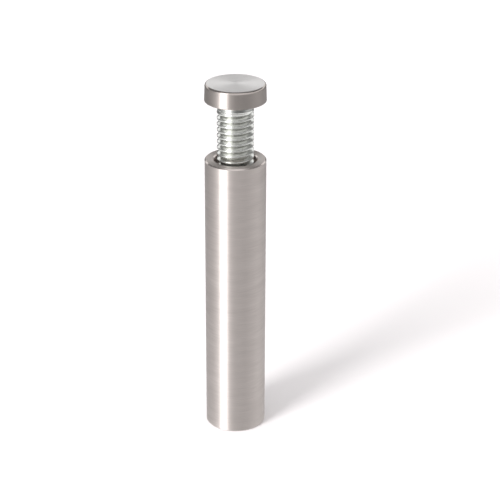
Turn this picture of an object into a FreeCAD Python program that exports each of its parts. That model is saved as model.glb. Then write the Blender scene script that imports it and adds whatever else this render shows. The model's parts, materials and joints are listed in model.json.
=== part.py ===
"""Glass panel standoff: a brushed steel tube with a capped, threaded stud screwed into its mouth.

The tube stands on a wall or a floor. The stud passes through a hole in a glass panel, and the cap
clamps the panel against the tube's rim. It is modelled unscrewed, with the gap for the panel open.

Millimetres. Z is the axis, and the origin is the middle of the tube's foot.
"""

import FreeCAD, Part
import math
import os

import Sketcher

# alias, millimetres, what it measures
SIZES = [
    ("barrel_diameter", 15.875, "outside of the tube and of the cap, 5/8 in"),
    ("barrel_length", 76.2, "foot to rim, 3 in"),
    ("barrel_bore", 11.1125, "inside of the tube, 7/16 in"),
    ("rim_edge_break", 0.3, "chamfer round the outside of the rim"),
    ("bore_edge_break", 0.25, "chamfer round the inside of both ends"),
    ("foot_edge_break", 0.3, "chamfer round the outside of the foot"),
    ("insert_length", 12.7, "each threaded insert, 1/2 in"),
    ("insert_countersink", 0.25, "how far a countersink is wider than the thread, in radius"),
    ("mouth_recess", 3.975, "rim down to the insert in the mouth"),
    ("thread_major", 9.525, "outside of the stud's thread, 3/8 in"),
    ("thread_pitch", 1.5875, "16 turns to the inch, right-handed"),
    ("thread_allowance", 0.12, "radial clearance between the stud and the hole of its insert"),
    ("stud_reach", 23.8125, "underside of the cap down to the stud's tip, 15/16 in"),
    ("tip_chamfer", 1.0, "chamfer on the stud's tip"),
    ("neck_diameter", 8.95, "plain shank of the stud under the cap"),
    ("neck_length", 2.4, "underside of the cap down to the thread"),
    ("spigot_length", 2.4, "shank held inside the cap"),
    ("panel_gap", 15.75, "rim up to the underside of the cap, as modelled"),
    ("cap_thickness", 4.5, "underside to the top face"),
    ("cap_taper", 0.13, "how much narrower the side is at its top, in radius"),
    ("cap_edge_radius", 0.65, "rounding between the side and the top face, made as two facets"),
    ("cap_edge_break", 0.1, "chamfer round the underside"),
    ("gasket_diameter", 13.0, "outside of the washer under the cap"),
    ("gasket_thickness", 1.0, "the washer stands out of its recess by the difference"),
    ("gasket_recess", 0.8, "depth of the washer's seat in the cap"),
    ("gasket_gap", 0.15, "radial gap round the washer, outside and inside"),
]

DOC = FreeCAD.newDocument("GlassPanelStandoff")
SHEET = DOC.addObject("Spreadsheet::Sheet", "sizes")

# Radii, as expressions on the sheet
TUBE = "(sizes.barrel_diameter / 2)"
BORE = "(sizes.barrel_bore / 2)"
MAJOR = "(sizes.thread_major / 2)"
NECK = "(sizes.neck_diameter / 2)"
GASKET = "(sizes.gasket_diameter / 2)"
CAP_TOP_RADIUS = f"({TUBE} - sizes.cap_taper)"
# how far the middle of a quarter-round lies inside the corner that it rounds
ROUNDING_INSET = f"(sizes.cap_edge_radius * {1 - math.sqrt(0.5)})"

# Heights above the foot
RIM = "sizes.barrel_length"
MOUTH_TOP = f"({RIM} - sizes.mouth_recess)"
MOUTH_FOOT = f"({MOUTH_TOP} - sizes.insert_length)"
UNDERSIDE = f"({RIM} + sizes.panel_gap)"
TIP = f"({UNDERSIDE} - sizes.stud_reach)"
THREAD_TOP = f"({UNDERSIDE} - sizes.neck_length)"
SEAT = f"({UNDERSIDE} + sizes.gasket_recess)"
STUD_TOP = f"({SEAT} + sizes.spigot_length)"
CAP_TOP = f"({UNDERSIDE} + sizes.cap_thickness)"

# A 60 degree thread. The stud's crest is flat for a quarter of a pitch, and its grooves are plain Vs
# between the crests. A tapped hole is bored to 5/8 of the fundamental triangle below the crest
PITCH = "sizes.thread_pitch"
FLANK = math.tan(math.radians(30))
CREST_FLAT = f"({PITCH} / 4)"
ROOT = f"({MAJOR} - ({PITCH} - {CREST_FLAT}) / {2 * FLANK})"
TRIANGLE = f"({math.sqrt(3) / 2} * {PITCH})"
MINOR = f"({MAJOR} - 5 / 8 * {TRIANGLE})"
# a hole that the stud's crests pass through
CLEAR = f"({MAJOR} + sizes.thread_allowance)"
# the thread cutter reaches this far out of the shank, so that no two faces coincide
OVERCUT = f"({PITCH} / 20)"


def fill_sheet():
    for row, (alias, size, meaning) in enumerate(SIZES, start=1):
        SHEET.set(f"A{row}", alias)
        SHEET.set(f"B{row}", str(size))
        SHEET.set(f"C{row}", meaning)
        SHEET.setAlias(f"B{row}", alias)
    DOC.recompute()


def value(expression):
    """The number that an expression on the sheet gives now."""
    found = SHEET.evalExpression(expression)
    return float(getattr(found, "Value", found))


def new_body(node):
    body = DOC.addObject("PartDesign::Body", node)
    body.Label = node
    return body


def origin_plane(body, role):
    return next(f for f in body.Origin.OriginFeatures if f.Role == role)


def pin_corner(sketch, line, radius, height):
    """Hold a line's first point at a radius and a height that the sheet gives."""
    for kind, axis, size in (("DistanceX", -2, radius), ("DistanceY", -1, height)):
        if size == "0":
            sketch.addConstraint(Sketcher.Constraint("PointOnObject", line, 1, axis))
            continue
        held = sketch.addConstraint(Sketcher.Constraint(kind, -1, 1, line, 1, value(size)))
        sketch.setExpression(f"Constraints[{held}]", size)


def section(body, name, corners):
    """A closed outline of straight sides in the XZ plane, with its corners as (radius, height)."""
    sketch = body.newObject("Sketcher::SketchObject", name)
    sketch.AttachmentSupport = (origin_plane(body, "XZ_Plane"), [""])
    sketch.MapMode = "FlatFace"
    points = [FreeCAD.Vector(value(r), value(h), 0) for r, h in corners]
    sides = len(points)
    for i, start in enumerate(points):
        sketch.addGeometry(Part.LineSegment(start, points[(i + 1) % sides]))
    for i in range(sides):
        sketch.addConstraint(Sketcher.Constraint("Coincident", i, 2, (i + 1) % sides, 1))
    for i, (radius, height) in enumerate(corners):
        pin_corner(sketch, i, radius, height)
    return sketch


def turned(body, name, corners):
    """Turn an outline once round the axis."""
    profile = section(body, f"{name}_section", corners)
    feature = body.newObject("PartDesign::Revolution", name)
    feature.Profile = profile
    feature.ReferenceAxis = (profile, ["V_Axis"])
    feature.Angle = 360
    DOC.recompute()
    return feature


def bored(body, name, corners):
    """Cut an outline out, once round the axis."""
    profile = section(body, f"{name}_section", corners)
    feature = body.newObject("PartDesign::Groove", name)
    feature.Profile = profile
    feature.ReferenceAxis = (profile, ["V_Axis"])
    feature.Angle = 360
    before = body.Shape.Volume
    DOC.recompute()
    must_shrink(body, name, before)
    return feature


def must_shrink(body, name, before):
    if not body.Shape.Volume < before - 1e-3:
        raise RuntimeError(f"{name} cuts nothing")


def round_edge(feature, radius, height):
    """The names of a feature's circular edges of a radius at a height, both given as expressions."""
    found = []
    for number, edge in enumerate(feature.Shape.Edges, start=1):
        curve = edge.Curve
        if not isinstance(curve, Part.Circle):
            continue
        if abs(curve.Radius - value(radius)) < 1e-4 and abs(curve.Center.z - value(height)) < 1e-4:
            found.append(f"Edge{number}")
    if not found:
        raise RuntimeError(f"{feature.Label} has no edge of radius {radius} at {height}")
    return found


def eased(body, name, feature, size, edges):
    """Chamfer the edges of a feature, each given as (radius, height)."""
    ease = body.newObject("PartDesign::Chamfer", name)
    ease.Base = (feature, [edge for at in edges for edge in round_edge(feature, *at)])
    ease.setExpression("Size", size)
    DOC.recompute()
    return ease


def thread_cut(body, name, corners, rise, flare=0.0):
    """Cut an outline out along a right-handed helix. Flare is the cone's half angle in degrees."""
    profile = section(body, f"{name}_section", corners)
    helix = body.newObject("PartDesign::SubtractiveHelix", name)
    helix.Profile = profile
    helix.ReferenceAxis = (profile, ["V_Axis"])
    helix.Mode = "pitch-height-angle"
    helix.setExpression("Pitch", PITCH)
    helix.setExpression("Height", rise)
    helix.Angle = flare
    helix.Refine = False
    before = body.Shape.Volume
    DOC.recompute()
    must_shrink(body, name, before)
    return helix


def groove_outline(middle):
    """The V between two crests, centred on a height, with its open side just outside the shank."""
    outer = f"({MAJOR} + {OVERCUT})"
    half_width = f"({FLANK} * ({outer} - {ROOT}))"
    return [(ROOT, middle), (outer, f"({middle} - {half_width})"), (outer, f"({middle} + {half_width})")]


def barrel_tube():
    body = new_body("barrel_tube")
    wall = turned(body, "tube_wall", [(BORE, "0"), (TUBE, "0"), (TUBE, RIM), (BORE, RIM)])
    rim = eased(body, "rim_break", wall, "sizes.rim_edge_break", [(TUBE, RIM)])
    foot = eased(body, "foot_break", rim, "sizes.foot_edge_break", [(TUBE, "0")])
    eased(body, "bore_breaks", foot, "sizes.bore_edge_break", [(BORE, "0"), (BORE, RIM)])
    return body


def insert(node, foot, top, hole, mouth):
    """A plug pressed into the tube, with a hole of a radius that is countersunk at its mouth."""
    body = new_body(node)
    plug = turned(body, f"{node}_plug", [(hole, foot), (BORE, foot), (BORE, top), (hole, top)])
    widening = f"({MAJOR} + sizes.insert_countersink - {hole})"
    eased(body, f"{node}_countersink", plug, widening, [(hole, mouth)])
    return body


def mouth_insert():
    """The insert that carries the stud. Its own thread is left out, so the hole clears the stud's."""
    return insert("mouth_insert", MOUTH_FOOT, MOUTH_TOP, CLEAR, MOUTH_TOP)


def base_insert():
    """The same insert at the foot, bored for tapping, which takes the fixing screw."""
    return insert("base_insert", "0", "sizes.insert_length", MINOR, "0")


def stud():
    """Shank with a rolled thread, in step with the one that its insert has, and a run-out at the neck."""
    body = new_body("stud")
    shank = [
        ("0", TIP),
        (f"({MAJOR} - sizes.tip_chamfer)", TIP),
        (MAJOR, f"({TIP} + sizes.tip_chamfer)"),
        (MAJOR, THREAD_TOP),
        (NECK, f"({THREAD_TOP} + {MAJOR} - {NECK})"),
        (NECK, STUD_TOP),
        ("0", STUD_TOP),
    ]
    turned(body, "shank", shank)
    # grooves lie half a pitch off the crests, and crests are whole pitches above the insert's foot
    steps_to_tip = f"floor(({TIP} - {MOUTH_FOOT}) / {PITCH} - 0.5)"
    start = f"({MOUTH_FOOT} + ({steps_to_tip} + 0.5) * {PITCH})"
    rise = f"({PITCH} * floor(({THREAD_TOP} - {start}) / {PITCH}))"
    thread_cut(body, "stud_thread", groove_outline(start), rise)
    run_out = groove_outline(f"({start} + {rise})")
    # over half a turn the cutter climbs half a pitch and backs out of the shank
    run_out_flare = 54
    thread_cut(body, "thread_run_out", run_out, f"({PITCH} / 2)", run_out_flare)
    return body


def cap():
    """Turned disc with a seat for the washer and a blind hole for the stud."""
    body = new_body("cap")
    outline = [
        ("0", UNDERSIDE),
        (TUBE, UNDERSIDE),
        (CAP_TOP_RADIUS, f"({CAP_TOP} - sizes.cap_edge_radius)"),
        (f"({CAP_TOP_RADIUS} - {ROUNDING_INSET})", f"({CAP_TOP} - {ROUNDING_INSET})"),
        (f"({CAP_TOP_RADIUS} - sizes.cap_edge_radius)", CAP_TOP),
        ("0", CAP_TOP),
    ]
    disc = turned(body, "disc", outline)
    eased(body, "underside_break", disc, "sizes.cap_edge_break", [(TUBE, UNDERSIDE)])
    recess = f"({GASKET} + sizes.gasket_gap)"
    seat_and_hole = [
        ("0", UNDERSIDE),
        (recess, UNDERSIDE),
        (recess, SEAT),
        (NECK, SEAT),
        (NECK, STUD_TOP),
        ("0", STUD_TOP),
    ]
    bored(body, "seat_and_hole", seat_and_hole)
    return body


def panel_gasket():
    """Thin washer that keeps the cap off the glass."""
    body = new_body("panel_gasket")
    hole = f"({MAJOR} + sizes.gasket_gap)"
    face = f"({SEAT} - sizes.gasket_thickness)"
    turned(body, "washer", [(hole, face), (GASKET, face), (GASKET, SEAT), (hole, SEAT)])
    return body


def check_document():
    for item in DOC.Objects:
        if "Invalid" in item.State or "Error" in item.State:
            raise RuntimeError(f"{item.Label} did not compute: {item.State}")


def export(bodies):
    for body in bodies:
        shape = body.Shape
        if shape.isNull() or not shape.isValid() or len(shape.Solids) != 1:
            raise RuntimeError(f"{body.Label} is not one valid solid")
        print(f"{body.Label}: {shape.Volume:.2f} mm3, {len(shape.Faces)} faces")
    os.makedirs("parts", exist_ok=True)
    for body in bodies:
        body.Shape.exportStep(os.path.join("parts", f"{body.Label}.step"))


fill_sheet()
BODIES = [barrel_tube(), mouth_insert(), base_insert(), stud(), cap(), panel_gasket()]
check_document()
export(BODIES)
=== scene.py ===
"""Looks of the glass panel standoff: brushed and turned stainless steel round a zinc-plated stud.

Metres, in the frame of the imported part. The plain pieces are spun from their outlines, and the
threaded ones are wound by Geometry Nodes.
"""

import bpy
import json
import math
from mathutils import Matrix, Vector


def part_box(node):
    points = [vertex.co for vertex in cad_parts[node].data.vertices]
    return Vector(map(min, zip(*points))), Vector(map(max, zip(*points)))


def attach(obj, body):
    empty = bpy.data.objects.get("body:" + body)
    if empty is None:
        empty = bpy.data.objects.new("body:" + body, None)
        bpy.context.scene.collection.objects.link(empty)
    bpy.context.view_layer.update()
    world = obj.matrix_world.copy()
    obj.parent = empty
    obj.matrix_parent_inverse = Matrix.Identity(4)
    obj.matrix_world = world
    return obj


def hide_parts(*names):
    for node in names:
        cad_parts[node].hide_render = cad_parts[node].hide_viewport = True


MM = 0.001

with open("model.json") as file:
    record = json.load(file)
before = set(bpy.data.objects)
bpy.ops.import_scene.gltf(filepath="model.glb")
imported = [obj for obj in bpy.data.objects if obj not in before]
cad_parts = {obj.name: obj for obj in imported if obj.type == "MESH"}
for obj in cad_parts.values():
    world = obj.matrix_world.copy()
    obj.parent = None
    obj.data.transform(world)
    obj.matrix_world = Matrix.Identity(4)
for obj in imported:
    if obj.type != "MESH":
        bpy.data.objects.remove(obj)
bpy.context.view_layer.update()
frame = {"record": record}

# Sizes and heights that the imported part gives
FOOT, RIM = (corner.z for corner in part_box("barrel_tube"))
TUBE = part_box("barrel_tube")[1].x
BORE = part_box("mouth_insert")[1].x
MOUTH_FOOT, MOUTH_TOP = (corner.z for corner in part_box("mouth_insert"))
BASE_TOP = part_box("base_insert")[1].z
TIP, STUD_TOP = (corner.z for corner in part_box("stud"))
UNDERSIDE, CAP_TOP = (corner.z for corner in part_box("cap"))
GASKET_FACE, SEAT = (corner.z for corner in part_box("panel_gasket"))
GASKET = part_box("panel_gasket")[1].x
MOUNTS = {mount["name"]: mount for mount in frame["record"]["mounts"]}
MINOR = MOUNTS["fixing_thread"]["dims"]["r_mm"] * MM
MAJOR = MOUNTS["panel_hole"]["dims"]["r_mm"] * MM
PITCH = frame["record"]["behaviour"]["couplings"][0]["ratio"] * math.tau

# Sizes that only the part's source names
RIM_BREAK = 0.3 * MM
BORE_BREAK = 0.25 * MM
CAP_TAPER = 0.13 * MM
CAP_ROUNDING = 0.65 * MM
CAP_BREAK = 0.1 * MM
GASKET_GAP = 0.15 * MM
NECK = 4.475 * MM
NECK_LENGTH = 2.4 * MM
SHOULDER_SLOPE = math.tan(math.radians(32))
TIP_CHAMFER = 1.0 * MM
COUNTERSINK = MAJOR + 0.25 * MM
CLEAR = MAJOR + 0.12 * MM
FLANK_GAP = 0.04 * MM
PLUG_REACH = 2 * MM

# The 60 degree thread: crests are whole pitches above the mouth insert's foot, on the +X side
FLANK = math.tan(math.radians(30))
STUD_CREST = PITCH / 4
STUD_ROOT = MAJOR - (PITCH - STUD_CREST) / (2 * FLANK)
TAPPED_CREST = PITCH - STUD_CREST - 2 * FLANK * (MAJOR - MINOR) - 2 * FLANK_GAP
FIRST_GROOVE = MOUTH_FOOT + (math.floor((TIP - MOUTH_FOOT) / PITCH - 0.5) + 0.5) * PITCH
THREAD_TOP = UNDERSIDE - NECK_LENGTH
RUN_OUT = FIRST_GROOVE + math.floor((THREAD_TOP - FIRST_GROOVE) / PITCH) * PITCH
GROOVE_DEPTH = "groove_depth"

# How finely the pieces are turned, how near points become one, and from what bend an edge is crisp
TURN_SEGMENTS = 192
THREAD_SEGMENTS = 96
ROWS_A_PITCH = 16
WOUND_MERGE = 0.001 * MM
SPUN_CORNER = math.radians(25)
WOUND_CORNER = math.radians(30)


def add(tree, kind, inputs=None, **settings):
    """Add a node with its settings, and set or link its inputs by name or number."""
    node = tree.nodes.new(kind)
    for name, setting in settings.items():
        setattr(node, name, setting)
    for key, given in (inputs or {}).items():
        socket = node.inputs[key]
        if isinstance(given, bpy.types.NodeSocket):
            tree.links.new(given, socket)
        else:
            socket.default_value = given
    return node


def linear(hex_colour):
    """An sRGB hex colour as linear red, green, blue and alpha."""
    channels = []
    for i in (0, 2, 4):
        c = int(hex_colour[i : i + 2], 16) / 255
        channels.append(c / 12.92 if c <= 0.04045 else ((c + 0.055) / 1.055) ** 2.4)
    return (*channels, 1.0)


def maths(tree, operation, *values):
    """What a maths node works out from one, two or three values."""
    return add(tree, "ShaderNodeMath", dict(enumerate(values)), operation=operation).outputs[0]


def remap(tree, value, start, end=(0.0, 1.0), clamp=True):
    """A value taken from one pair of ends to another."""
    ends = {0: value, 1: start[0], 2: start[1], 3: end[0], 4: end[1]}
    return add(tree, "ShaderNodeMapRange", ends, clamp=clamp).outputs[0]


def noise(tree, place, size, detail):
    """Cloudy noise whose patches are about a size across."""
    settings = {"Vector": place, "Scale": 1 / size, "Detail": detail}
    return add(tree, "ShaderNodeTexNoise", settings).outputs[0]


def mixed(tree, factor, first, second):
    """A colour between two, by a factor from 0 to 1."""
    given = {"Factor": factor, "A": first, "B": second}
    return add(tree, "ShaderNodeMix", given, data_type="RGBA").outputs["Result"]


# Materials

# nearly all of a noise lies between these
NOISE_SPAN = (0.3, 0.7)


def new_material(name):
    material = bpy.data.materials.new(name)
    material.use_nodes = True
    material.node_tree.nodes.clear()
    return material


def two_tone(tree, factor, span, dark, light):
    """A colour that runs from dark to light as a factor runs through a span."""
    ramp = add(tree, "ShaderNodeValToRGB", {0: factor})
    ends = ramp.color_ramp.elements
    ends[0].position, ends[1].position = span
    ends[0].color, ends[1].color = linear(dark), linear(light)
    return ramp.outputs["Color"]


def lathe_rings(tree, spacing, wander):
    """Coordinates in which noise of size 1 makes rings round Z, a spacing apart on a side or on a face.

    Wander is how often a ring changes on its way round.
    """
    place = add(tree, "ShaderNodeTexCoord").outputs["Object"]
    split = add(tree, "ShaderNodeSeparateXYZ", {0: place})
    plan = {"X": split.outputs["X"], "Y": split.outputs["Y"]}
    flat = add(tree, "ShaderNodeCombineXYZ", plan).outputs[0]
    radius = add(tree, "ShaderNodeVectorMath", {0: flat}, operation="LENGTH").outputs["Value"]
    way = add(tree, "ShaderNodeVectorMath", {0: flat}, operation="NORMALIZE").outputs[0]
    drift = add(tree, "ShaderNodeVectorMath", {0: way, "Scale": wander}, operation="SCALE").outputs[0]
    across = maths(tree, "ADD", radius, split.outputs["Z"])
    rings = maths(tree, "MULTIPLY", across, 1 / spacing)
    lift = add(tree, "ShaderNodeCombineXYZ", {"Z": rings}).outputs[0]
    return add(tree, "ShaderNodeVectorMath", {0: drift, 1: lift}, operation="ADD").outputs[0]


def turned_steel(name, light, dark, end_tint_and_painted_light, roughness, end_roughness, spacing, depth, spread):
    """Stainless steel with the fine rings that a cutting tool or an abrasive belt leaves round a bar.

    The rings spread a highlight along the axis, so that a lamp shows as a long band down the side.
    The flat ends are faced on a lathe, coarser than the side, and show a soft fan of light. Their own
    tint is partly that finish and partly painted light and shade. The broken edges between them
    are cut last and glossier, so that they draw thin dark and bright lines.
    """
    # an end and a broken edge are told apart by how far their normal rises, and the edge keeps
    # the last share of the roughness
    end_rise = (0.9, 0.99)
    edge_rise, edge_margin, edge_share = 0.7, 0.25, 0.4
    band_spacing = 12 * spacing
    band_share = 0.35
    material = new_material(name)
    tree = material.node_tree
    rings = lathe_rings(tree, spacing, wander=2.0)
    fine = noise(tree, rings, size=1.0, detail=3.0)
    bands = lathe_rings(tree, band_spacing, wander=0.8)
    broad = noise(tree, bands, size=1.0, detail=2.0)
    marks = add(tree, "ShaderNodeMix", {"Factor": band_share, "A": fine, "B": broad}).outputs[0]
    normal = add(tree, "ShaderNodeNewGeometry").outputs["Normal"]
    rise = add(tree, "ShaderNodeSeparateXYZ", {0: normal}).outputs["Z"]
    level = maths(tree, "ABSOLUTE", rise)
    end = remap(tree, level, end_rise)
    base = remap(tree, end, (0.0, 1.0), (roughness, end_roughness))
    wear = remap(tree, marks, NOISE_SPAN, (1.1, 0.9))
    worn = maths(tree, "MULTIPLY", base, wear)
    sloped = maths(tree, "COMPARE", level, edge_rise, edge_margin)
    gloss = remap(tree, sloped, (0.0, 1.0), (1.0, edge_share))
    rough = maths(tree, "MULTIPLY", worn, gloss)
    skin = two_tone(tree, marks, NOISE_SPAN, dark, light)
    # painted light and shade: the flat ends take a tint of their own, which paints the cap's top lighter
    # and the tube's rim darker
    tinted = mixed(tree, end, skin, linear(end_tint_and_painted_light))
    bump = add(tree, "ShaderNodeBump", {"Height": fine, "Distance": depth}).outputs[0]
    around = add(tree, "ShaderNodeTangent", direction_type="RADIAL", axis="Z").outputs[0]
    shader = add(
        tree,
        "ShaderNodeBsdfPrincipled",
        {
            "Base Color": tinted,
            "Metallic": 1.0,
            "Roughness": rough,
            "Anisotropic": spread,
            # a quarter turn, because the highlight spreads across the rings
            "Anisotropic Rotation": 0.25,
            "Normal": bump,
            "Tangent": around,
        },
    )
    add(tree, "ShaderNodeOutputMaterial", {"Surface": shader.outputs[0]})
    return material


# what the grooves add to the plating's roughness, where the painted shade falls too
GROOVE_ROUGHNESS = 0.2


def zinc_plate(name, light, dark, groove_shade, roughness):
    """Bright zinc plating: a cool grey skin, glossy on the crests and dull in the grooves, which painted
    shade darkens.
    """
    material = new_material(name)
    tree = material.node_tree
    place = add(tree, "ShaderNodeTexCoord").outputs["Object"]
    cloud = noise(tree, place, size=1.2 * MM, detail=4.0)
    depth = add(tree, "ShaderNodeAttribute", attribute_name=GROOVE_DEPTH).outputs["Fac"]
    # painted shade: from half depth down, the grooves are mixed towards the shade colour
    painted_groove_shade = remap(tree, depth, (0.5, 1.0), (0.0, 0.8))
    skin = two_tone(tree, cloud, (0.35, 0.65), dark, light)
    colour = mixed(tree, painted_groove_shade, skin, linear(groove_shade))
    dull = remap(tree, cloud, NOISE_SPAN, (roughness * 1.3, roughness * 0.8))
    rough = maths(tree, "MULTIPLY_ADD", painted_groove_shade, GROOVE_ROUGHNESS, dull)
    grain = noise(tree, place, size=0.25 * MM, detail=3.0)
    bump = add(tree, "ShaderNodeBump", {"Height": grain, "Distance": 0.006 * MM}).outputs[0]
    shader = add(
        tree,
        "ShaderNodeBsdfPrincipled",
        {"Base Color": colour, "Metallic": 1.0, "Roughness": rough, "Normal": bump},
    )
    add(tree, "ShaderNodeOutputMaterial", {"Surface": shader.outputs[0]})
    return material


def moulded_rubber(name, light, dark):
    """Moulded black rubber: matt, with a faint pebble from the mould."""
    material = new_material(name)
    tree = material.node_tree
    place = add(tree, "ShaderNodeTexCoord").outputs["Object"]
    pebble = noise(tree, place, size=0.3 * MM, detail=3.0)
    bump = add(tree, "ShaderNodeBump", {"Height": pebble, "Distance": 0.02 * MM}).outputs[0]
    skin = two_tone(tree, pebble, NOISE_SPAN, dark, light)
    shader = add(
        tree,
        "ShaderNodeBsdfPrincipled",
        {"Base Color": skin, "Roughness": 0.7, "Normal": bump},
    )
    add(tree, "ShaderNodeOutputMaterial", {"Surface": shader.outputs[0]})
    return material


# Spun pieces


def quarter_round(centre_radius, centre_height, radius, steps=8):
    """Points from straight out to straight up, round a centre."""
    angles = [math.pi / 2 * i / steps for i in range(steps + 1)]
    return [(centre_radius + radius * math.cos(a), centre_height + radius * math.sin(a)) for a in angles]


def spin(name, outline):
    """Turn a closed outline of (radius, height) once round Z, with its corners left crisp.

    It runs outwards below and up the outside, which turns its faces outwards. A point on the axis
    stays one point.
    """
    points, rings = [], []
    for radius, height in outline:
        around = range(TURN_SEGMENTS if radius else 1)
        rings.append([len(points) + i for i in around])
        for i in around:
            angle = math.tau * i / TURN_SEGMENTS
            points.append((radius * math.cos(angle), radius * math.sin(angle), height))
    faces = []
    for low, high in zip(rings, rings[1:] + rings[:1]):
        for i in range(TURN_SEGMENTS):
            across = ((low, i), (low, i + 1), (high, i + 1), (high, i))
            # beside the axis two of the four are the same point
            face = list(dict.fromkeys(ring[j % len(ring)] for ring, j in across))
            if len(face) > 2:
                faces.append(face)
    mesh = bpy.data.meshes.new(name)
    mesh.from_pydata(points, [], faces)
    mesh.shade_smooth()
    mesh.set_sharp_from_angle(angle=SPUN_CORNER)
    piece = bpy.data.objects.new(name, mesh)
    bpy.context.scene.collection.objects.link(piece)
    return piece


def tube_outline():
    return [
        (BORE + BORE_BREAK, FOOT),
        (TUBE - RIM_BREAK, FOOT),
        (TUBE, FOOT + RIM_BREAK),
        (TUBE, RIM - RIM_BREAK),
        (TUBE - RIM_BREAK, RIM),
        (BORE + BORE_BREAK, RIM),
        (BORE, RIM - BORE_BREAK),
        (BORE, FOOT + BORE_BREAK),
    ]


def cap_outline():
    side_top = TUBE - CAP_TAPER
    rounding = quarter_round(side_top - CAP_ROUNDING, CAP_TOP - CAP_ROUNDING, CAP_ROUNDING)
    # a ring beside each end of the rounding keeps its shading off the flat faces
    hold = 0.05 * MM
    recess = GASKET + GASKET_GAP
    return [
        (0, STUD_TOP),
        (NECK, STUD_TOP),
        (NECK, SEAT),
        (recess, SEAT),
        (recess, UNDERSIDE),
        (TUBE - CAP_BREAK, UNDERSIDE),
        (TUBE, UNDERSIDE + CAP_BREAK),
        (side_top, CAP_TOP - CAP_ROUNDING - hold),
        *rounding,
        (side_top - CAP_ROUNDING - hold, CAP_TOP),
        (0, CAP_TOP),
    ]


def washer_outline():
    hole = MAJOR + GASKET_GAP
    return [(hole, GASKET_FACE), (GASKET, GASKET_FACE), (GASKET, SEAT), (hole, SEAT)]


# Wound pieces

THREAD_SIZES = (
    "Pitch",
    "Middle",
    "Ridge radius",
    "Groove radius",
    "Flank start",
    "Flank end",
    "Softness",
    "Run-out start",
    "Run-out end",
    "Foot",
    "Foot radius",
    "Top",
    "Top radius",
    "Neck foot",
    "Neck radius",
    "End radius",
)
THREAD_COUNTS = ("Turns", "Rows a pitch", "Segments")


def thread_tree(name, inside):
    """A threaded wall, wound from a grid whose rows climb one pitch in a turn, and closed at its ends.

    An outside thread closes on the axis at both ends, and an inside one opens out to its plug's wall.
    """
    tree = bpy.data.node_groups.new(name, "GeometryNodeTree")
    tree.interface.new_socket("Geometry", in_out="OUTPUT", socket_type="NodeSocketGeometry")
    for size in THREAD_SIZES:
        tree.interface.new_socket(size, in_out="INPUT", socket_type="NodeSocketFloat")
    for count in THREAD_COUNTS:
        tree.interface.new_socket(count, in_out="INPUT", socket_type="NodeSocketInt")
    tree.interface.new_socket("Material", in_out="INPUT", socket_type="NodeSocketMaterial")
    given = add(tree, "NodeGroupInput").outputs

    rows = maths(tree, "MULTIPLY_ADD", given["Turns"], given["Rows a pitch"], 1.0)
    columns = maths(tree, "ADD", given["Segments"], 1.0)
    grid = add(
        tree,
        "GeometryNodeMeshGrid",
        {
            "Size X": 1.0,
            "Size Y": given["Turns"],
            "Vertices X": columns,
            "Vertices Y": rows,
        },
    )
    # on the grid X is the part of a turn and Y the row, both in turns from the middle
    place = add(tree, "GeometryNodeInputPosition").outputs[0]
    spot = add(tree, "ShaderNodeSeparateXYZ", {0: place}).outputs
    climb = maths(tree, "ADD", spot["X"], spot["Y"])
    height = maths(tree, "MULTIPLY_ADD", climb, given["Pitch"], given["Middle"])

    depth = groove_depth(tree, given, spot["Y"], height)
    radii = (given["Ridge radius"], given["Groove radius"])
    wall = remap(tree, depth, (0.0, 1.0), radii, clamp=False)
    radius = trimmed(tree, given, wall, height, inside)

    angle = maths(tree, "MULTIPLY", spot["X"], math.tau)
    cosine = maths(tree, "COSINE", angle)
    sine = maths(tree, "SINE", angle)
    east = maths(tree, "MULTIPLY", radius, cosine)
    north = maths(tree, "MULTIPLY", radius, sine)
    reach = {"Value": height, "Min": given["Foot"], "Max": given["Top"]}
    level = add(tree, "ShaderNodeClamp", reach).outputs[0]
    point = add(tree, "ShaderNodeCombineXYZ", {"X": east, "Y": north, "Z": level}).outputs[0]
    # the depth is stored first, because it is worked out from the flat grid
    marked = add(
        tree,
        "GeometryNodeStoreNamedAttribute",
        {"Geometry": grid.outputs["Mesh"], "Name": GROOVE_DEPTH, "Value": depth},
    ).outputs[0]
    shell = add(tree, "GeometryNodeSetPosition", {"Geometry": marked, "Position": point}).outputs[0]
    if inside:
        shell = with_plug_wall(tree, given, shell)
    near = {"Geometry": shell, "Distance": WOUND_MERGE}
    closed = add(tree, "GeometryNodeMergeByDistance", near).outputs[0]
    smooth = add(tree, "GeometryNodeSetShadeSmooth", {"Geometry": closed}).outputs[0]
    bend = add(tree, "GeometryNodeInputMeshEdgeAngle").outputs["Unsigned Angle"]
    sharp = {"A": bend, "B": WOUND_CORNER}
    corner = add(tree, "FunctionNodeCompare", sharp, operation="GREATER_THAN").outputs[0]
    crisp = add(
        tree,
        "GeometryNodeSetShadeSmooth",
        {"Geometry": smooth, "Selection": corner, "Shade Smooth": False},
        domain="EDGE",
    ).outputs[0]
    real = add(tree, "GeometryNodeRealizeInstances", {"Geometry": crisp}).outputs[0]
    finish = {"Geometry": real, "Material": given["Material"]}
    finished = add(tree, "GeometryNodeSetMaterial", finish).outputs[0]
    add(tree, "NodeGroupOutput", {0: finished})
    return tree


def groove_depth(tree, given, row, height):
    """0 on a ridge and 1 in a groove, with both ends of the flank rounded, and 0 above the run-out."""
    aside = maths(tree, "PINGPONG", row, 0.5)
    along = maths(tree, "MULTIPLY", aside, given["Pitch"])
    flank = remap(tree, along, (given["Flank start"], given["Flank end"]), clamp=False)
    softness = given["Softness"]
    crest = maths(tree, "SMOOTH_MAX", flank, 0.0, softness)
    valley = maths(tree, "SMOOTH_MIN", crest, 1.0, softness)
    fade = remap(tree, height, (given["Run-out start"], given["Run-out end"]), (1.0, 0.0))
    return maths(tree, "MULTIPLY", valley, fade)


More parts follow.
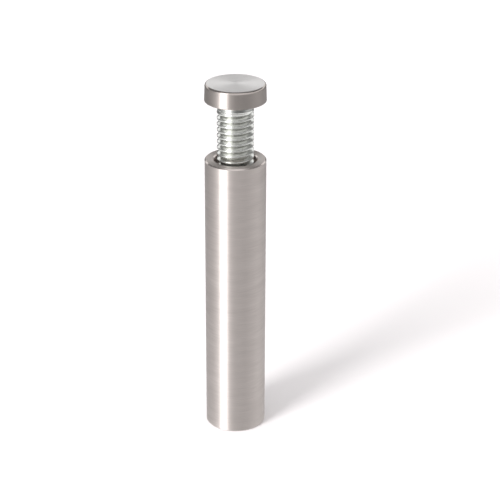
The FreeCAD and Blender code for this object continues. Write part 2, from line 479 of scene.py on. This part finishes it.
def trimmed(tree, given, wall, height, inside):
    """The wall's radius after its 45 degree chamfers or countersinks, which run on across the ends.

    An outside thread also narrows to its neck, down a gentler shoulder.
    """
    outwards, keep = (-1.0, "MAXIMUM") if inside else (1.0, "MINIMUM")
    for end, upwards in (("Foot", 1.0), ("Top", -1.0)):
        past = maths(tree, "SUBTRACT", height, given[end])
        slope = maths(tree, "MULTIPLY_ADD", past, upwards * outwards, given[f"{end} radius"])
        wall = maths(tree, keep, wall, slope)
    if inside:
        return maths(tree, "MINIMUM", wall, given["End radius"])
    below = maths(tree, "SUBTRACT", given["Neck foot"], height)
    spread = maths(tree, "MULTIPLY", below, SHOULDER_SLOPE)
    shoulder = maths(tree, "MAXIMUM", spread, 0.0)
    shank = maths(tree, "ADD", shoulder, given["Neck radius"])
    wall = maths(tree, "MINIMUM", wall, shank)
    return maths(tree, "MAXIMUM", wall, given["End radius"])


def with_plug_wall(tree, given, thread):
    """The thread's wall turned to face the axis, inside the round wall of its plug."""
    turned = add(tree, "GeometryNodeFlipFaces", {"Mesh": thread}).outputs[0]
    length = maths(tree, "SUBTRACT", given["Top"], given["Foot"])
    plug = add(
        tree,
        "GeometryNodeMeshCylinder",
        {"Vertices": given["Segments"], "Radius": given["End radius"], "Depth": length},
        fill_type="NONE",
    ).outputs["Mesh"]
    middle = maths(tree, "MULTIPLY_ADD", length, 0.5, given["Foot"])
    lift = add(tree, "ShaderNodeCombineXYZ", {"Z": middle}).outputs[0]
    raised = add(tree, "GeometryNodeTransform", {"Geometry": plug, "Translation": lift}).outputs[0]
    joined = add(tree, "GeometryNodeJoinGeometry")
    tree.links.new(turned, joined.inputs[0])
    tree.links.new(raised, joined.inputs[0])
    return joined.outputs[0]


def wind(name, tree, finish, ridge, reach, sizes):
    """A piece wound by a thread tree, with the middle of one of its ridges at a height on the +X side.

    Its rows run on past both ends, by the reach, to close them.
    """
    lowest = sizes["Foot"] - reach
    highest = sizes["Top"] + reach
    steps = round(((lowest + highest) / 2 - ridge) / PITCH)
    # an even number of turns puts a row on the middle of every ridge
    turns = 2 * math.ceil((highest - lowest) / PITCH / 2 + 1)
    wanted = {
        **sizes,
        "Pitch": PITCH,
        "Middle": ridge + steps * PITCH,
        "Turns": turns,
        "Rows a pitch": ROWS_A_PITCH,
        "Segments": THREAD_SEGMENTS,
        "Material": finish,
    }
    piece = bpy.data.objects.new(name, bpy.data.meshes.new(name))
    bpy.context.scene.collection.objects.link(piece)
    winding = piece.modifiers.new("winding", "NODES")
    winding.node_group = tree
    for item in tree.interface.items_tree:
        if item.in_out == "INPUT" and item.name in wanted:
            winding[item.identifier] = wanted[item.name]
    seen = piece.evaluated_get(bpy.context.evaluated_depsgraph_get())
    piece.data = bpy.data.meshes.new_from_object(seen)
    piece.modifiers.clear()
    return piece


def stud_sizes():
    return {
        "Ridge radius": MAJOR,
        "Groove radius": STUD_ROOT,
        "Flank start": STUD_CREST / 2,
        "Flank end": PITCH / 2,
        "Softness": 0.16,
        "Run-out start": RUN_OUT,
        "Run-out end": RUN_OUT + PITCH / 2,
        "Foot": TIP,
        "Foot radius": MAJOR - TIP_CHAMFER,
        "Top": STUD_TOP,
        "Top radius": NECK,
        "Neck foot": THREAD_TOP + MAJOR - NECK,
        "Neck radius": NECK,
        "End radius": 0.0,
    }


def tapped_sizes(foot, top, foot_radius, top_radius):
    """An insert's thread, whose ridges fill the grooves of such a stud but for the gaps."""
    return {
        "Ridge radius": MINOR,
        "Groove radius": CLEAR,
        "Flank start": TAPPED_CREST / 2,
        "Flank end": TAPPED_CREST / 2 + FLANK * (CLEAR - MINOR),
        "Softness": 0.1,
        "Run-out start": top + PITCH,
        "Run-out end": top + 2 * PITCH,
        "Foot": foot,
        "Foot radius": foot_radius,
        "Top": top,
        "Top radius": top_radius,
        "End radius": BORE,
    }


def dress(piece, node, finish):
    """Let a piece stand for a CAD node, with its finish, on the body that the node belongs to."""
    bodies = frame["record"]["behaviour"]["bodies"]
    body = next(name for name, nodes in bodies.items() if node in nodes)
    piece.data.materials.clear()
    piece.data.materials.append(finish)
    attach(piece, body)
    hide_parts(node)


# the tube, ground on a belt: the highlight runs its whole length, and the rim is duller, with painted
# shade darkening it
brushed = turned_steel(
    "brushed_stainless",
    light="e0d7d3",
    dark="d0c7c3",
    end_tint_and_painted_light="c4bdb9",
    roughness=0.38,
    end_roughness=0.5,
    spacing=0.12 * MM,
    depth=0.001 * MM,
    spread=0.89,
)
# the cap, finely turned: smoother and a little darker down the side, with its top painted paler as
# painted light
faced = turned_steel(
    "turned_stainless",
    light="c5bcb8",
    dark="c0b8b3",
    end_tint_and_painted_light="dddbda",
    roughness=0.31,
    end_roughness=0.32,
    spacing=0.1 * MM,
    depth=0.0003 * MM,
    spread=0.66,
)
# the stud is bright and glossy, and the inserts in their holes are duller and yellower
# the third colour of each is the painted shade in the thread's grooves
zinc = zinc_plate("zinc_plated_steel", light="f0f1ee", dark="e2e3df", groove_shade="c4c4bf", roughness=0.18)
plated = zinc_plate("zinc_plated_inserts", light="c9ccc7", dark="a9aca6", groove_shade="8a8982", roughness=0.28)
rubber = moulded_rubber("black_rubber", light="464646", dark="363636")

dress(spin("brushed_tube", tube_outline()), "barrel_tube", brushed)
dress(spin("turned_cap", cap_outline()), "cap", faced)
dress(spin("rubber_washer", washer_outline()), "panel_gasket", rubber)

rolled_thread = thread_tree("rolled thread", inside=False)
tapped_thread = thread_tree("tapped thread", inside=True)
stud = wind("rolled_stud", rolled_thread, zinc, ridge=MOUTH_FOOT, reach=MAJOR, sizes=stud_sizes())
dress(stud, "stud", zinc)
# the insert's ridges stand in the stud's grooves, half a pitch above the stud's own ridges
mouth = tapped_sizes(MOUTH_FOOT, MOUTH_TOP, CLEAR, COUNTERSINK)
mouth_ridge = MOUTH_FOOT + PITCH / 2
mouth_plug = wind("tapped_mouth_insert", tapped_thread, plated, mouth_ridge, PLUG_REACH, mouth)
dress(mouth_plug, "mouth_insert", plated)
base = tapped_sizes(FOOT, BASE_TOP, COUNTERSINK, CLEAR)
base_plug = wind("tapped_base_insert", tapped_thread, plated, FOOT, PLUG_REACH, base)
dress(base_plug, "base_insert", plated)


# The studio

WORLD_LIGHT = 0.67
FLOOR_LIFT = 0.1

# Stops of the round screens, as (azimuth, brightness): the far floor is what level rays off the
# cap meet, and the near floor and the foot what steeper rays off the tube and the stud meet
FAR_FLOOR = (
    (-180, 0.4),
    (-150, 0.32),
    (-130, 0.25),
    (-102, 0.28),
    (-85, 0.4),
    (-65, 0.85),
    (-30, 0.8),
    (-13, 0.29),
    (5, 0.13),
    (50, 0.12),
    (65, 0.2),
    (85, 0.34),
    (125, 0.38),
    (150, 0.36),
    (180, 0.4),
)
NEAR_FLOOR = (
    (-180, 0.65),
    (-130, 0.87),
    (-102, 1.0),
    (-80, 1.22),
    (-60, 1.4),
    (-30, 1.05),
    (-13, 0.5),
    (2, 0.27),
    (33, 0.23),
    (49, 0.34),
    (66, 0.6),
    (85, 0.88),
    (108, 1.0),
    (141, 0.82),
    (180, 0.65),
)
FOOT_FLOOR = (
    (-180, 0.7),
    (-130, 0.9),
    (-102, 1.0),
    (-80, 1.15),
    (-60, 1.3),
    (-30, 1.1),
    (-13, 0.8),
    (2, 0.69),
    (33, 0.66),
    (49, 0.75),
    (66, 0.85),
    (85, 0.95),
    (108, 1.0),
    (141, 0.85),
    (180, 0.7),
)
HORIZON = ((-180, 0.25), (-110, 0.15), (-70, 0.8), (0, 1.0), (70, 0.8), (110, 0.2), (180, 0.25))


def facing(azimuth):
    """A level direction, in degrees from straight towards the lens, positive to its right."""
    turn = math.radians(azimuth)
    return Vector((math.sin(turn), -math.cos(turn), 0))


def shown_white(tree, lit):
    """White to the lens and in reflections, and lit as given to everything else."""
    path = add(tree, "ShaderNodeLightPath").outputs
    seen = path["Is Camera Ray"]
    for ray in ("Is Glossy Ray", "Is Transmission Ray"):
        seen = maths(tree, "MAXIMUM", seen, path[ray])
    return add(tree, "ShaderNodeMix", {"Factor": seen, "A": lit, "B": 1.0}).outputs[0]


def white_world():
    world = bpy.data.worlds.new("studio")
    bpy.context.scene.world = world
    world.use_nodes = True
    tree = world.node_tree
    tree.nodes.clear()
    strength = shown_white(tree, WORLD_LIGHT)
    background = add(tree, "ShaderNodeBackground", {"Color": linear("ffffff"), "Strength": strength})
    add(tree, "ShaderNodeOutputWorld", {"Surface": background.outputs[0]})


def pale_floor():
    """White paper under the part. A little of its white is its own, so that it stays white far off."""
    half = 3.0
    material = new_material("white_paper")
    tree = material.node_tree
    paper = add(tree, "ShaderNodeBsdfDiffuse", {"Color": linear("f5f1f2")})
    seen = add(tree, "ShaderNodeLightPath").outputs["Is Camera Ray"]
    own = maths(tree, "MULTIPLY", seen, FLOOR_LIFT)
    glow = add(tree, "ShaderNodeEmission", {"Color": linear("ffffff"), "Strength": own})
    both = add(tree, "ShaderNodeAddShader", {0: paper.outputs[0], 1: glow.outputs[0]})
    add(tree, "ShaderNodeOutputMaterial", {"Surface": both.outputs[0]})
    corners = [(-half, -half, FOOT), (half, -half, FOOT), (half, half, FOOT), (-half, half, FOOT)]
    floor = stage_mesh("floor", corners, [(0, 1, 2, 3)], material)
    # reflections look through the paper at the cards round it
    floor.visible_glossy = False


def stage_mesh(name, corners, faces, material):
    """A piece of the studio, for the lens and the lamps but not part of the object."""
    mesh = bpy.data.meshes.new(name)
    mesh.from_pydata(corners, [], faces)
    mesh.materials.append(material)
    card = bpy.data.objects.new(name, mesh)
    bpy.context.scene.collection.objects.link(card)
    return card


def only_reflected(thing):
    """Keep a card or a lamp out of all but the reflections."""
    thing.visible_camera = False
    thing.visible_diffuse = False
    thing.visible_shadow = False


def ring_card(name, foot, top, stops):
    """A round screen, one metre off, whose brightness runs through stops of (azimuth, brightness)."""
    material = new_material(name)
    tree = material.node_tree
    place = add(tree, "ShaderNodeTexCoord").outputs["Object"]
    spot = add(tree, "ShaderNodeSeparateXYZ", {0: place}).outputs
    front = maths(tree, "MULTIPLY", spot["Y"], -1.0)
    angle = maths(tree, "ARCTAN2", spot["X"], front)
    turn = remap(tree, angle, (-math.pi, math.pi))
    ramp = add(tree, "ShaderNodeValToRGB", {0: turn})
    marks = ramp.color_ramp.elements
    while len(marks) < len(stops):
        marks.new(0.5)
    for mark, (azimuth, brightness) in zip(marks, stops):
        mark.position = azimuth / 360 + 0.5
        mark.color = (brightness, brightness, brightness, 1)
    glow = add(tree, "ShaderNodeEmission", {"Color": ramp.outputs["Color"]})
    add(tree, "ShaderNodeOutputMaterial", {"Surface": glow.outputs[0]})
    steps = 72
    corners = []
    for i in range(steps):
        out = facing(360 * i / steps)
        corners += [(out.x, out.y, foot), (out.x, out.y, top)]
    count = 2 * steps
    faces = [(i, i + 1, (i + 3) % count, (i + 2) % count) for i in range(0, count, 2)]
    only_reflected(stage_mesh(name, corners, faces, material))


def ceiling_card(name, height, left, right, front, back, brightness):
    """A level grey screen overhead, between its four edges."""
    material = new_material(name)
    glow = add(material.node_tree, "ShaderNodeEmission", {"Strength": brightness})
    add(material.node_tree, "ShaderNodeOutputMaterial", {"Surface": glow.outputs[0]})
    sides = ((left, front), (right, front), (right, back), (left, back))
    only_reflected(stage_mesh(name, [(x, y, height) for x, y in sides], [(0, 1, 2, 3)], material))


def softbox(name, azimuth, height, distance, width, tall, radiance):
    """An upright soft lamp that looks at the part's axis, and shines evenly."""
    lamp = bpy.data.lights.new(name, "AREA")
    lamp.shape = "RECTANGLE"
    lamp.size, lamp.size_y = width, tall
    lamp.energy = radiance * math.pi * width * tall
    box = bpy.data.objects.new(name, lamp)
    box.location = facing(azimuth) * distance + Vector((0, 0, height))
    box.rotation_euler = facing(azimuth).to_track_quat("Z", "Y").to_euler()
    bpy.context.scene.collection.objects.link(box)
    return box


def shadow_light(name, azimuth, elevation, spread, share):
    """A round lamp far off that throws the soft shadow, left out of reflections. Angles in degrees.

    It gives the share of a white floor's brightness that the shadow loses where it is hidden.
    """
    lamp = bpy.data.lights.new(name, "SUN")
    lamp.angle = math.radians(spread)
    lamp.energy = share * math.pi / math.sin(math.radians(elevation))
    sun = bpy.data.objects.new(name, lamp)
    rise = math.radians(elevation)
    towards = facing(azimuth) * math.cos(rise) + Vector((0, 0, math.sin(rise)))
    sun.rotation_euler = towards.to_track_quat("Z", "Y").to_euler()
    bpy.context.scene.collection.objects.link(sun)
    sun.visible_glossy = False


def lens_of_the_photograph():
    """The camera that the photograph was fitted to: where it stands, how far it tips and its lens."""
    camera = bpy.data.cameras.new("camera")
    photo_width = 500
    focal_pixels = 1643.6
    axis_column = 237.04
    aside, away, up = 0.399 * MM, 393.28 * MM, 228.16 * MM
    tip_down = math.radians(24.318)
    camera.sensor_width = 36
    camera.lens = focal_pixels / photo_width * camera.sensor_width
    camera.shift_x = (photo_width / 2 - axis_column) / photo_width
    stand = bpy.data.objects.new("camera", camera)
    stand.location = (aside, -away, up)
    stand.rotation_euler = (math.pi / 2 - tip_down, 0, 0)
    bpy.context.scene.collection.objects.link(stand)
    bpy.context.scene.camera = stand


white_world()
pale_floor()
ring_card("horizon_ring", foot=0.0, top=0.24, stops=HORIZON)
ring_card("far_floor_ring", foot=-0.3, top=0.0, stops=FAR_FLOOR)
ring_card("near_floor_ring", foot=-0.5, top=-0.3, stops=NEAR_FLOOR)
ring_card("foot_floor_ring", foot=-1.4, top=-0.5, stops=FOOT_FLOOR)
ceiling_card("ceiling", height=0.75, left=-2.4, right=1.0, front=-0.2, back=1.0, brightness=0.25)
# the lamp that draws the long highlight down the tube, out of what lights the paper
key = softbox("key_light", azimuth=-45.5, height=0.25, distance=0.85, width=0.47, tall=1.6, radiance=2.0)
key.visible_diffuse = False
# the low lamp throws the long shadow, and the high one darkens the paper round the foot
shadow_light("shadow_light", azimuth=-44, elevation=25, spread=21, share=0.41)
shadow_light("fill_light", azimuth=-44, elevation=74, spread=21, share=0.06)
lens_of_the_photograph()

bpy.context.scene.view_settings.view_transform = "Standard"
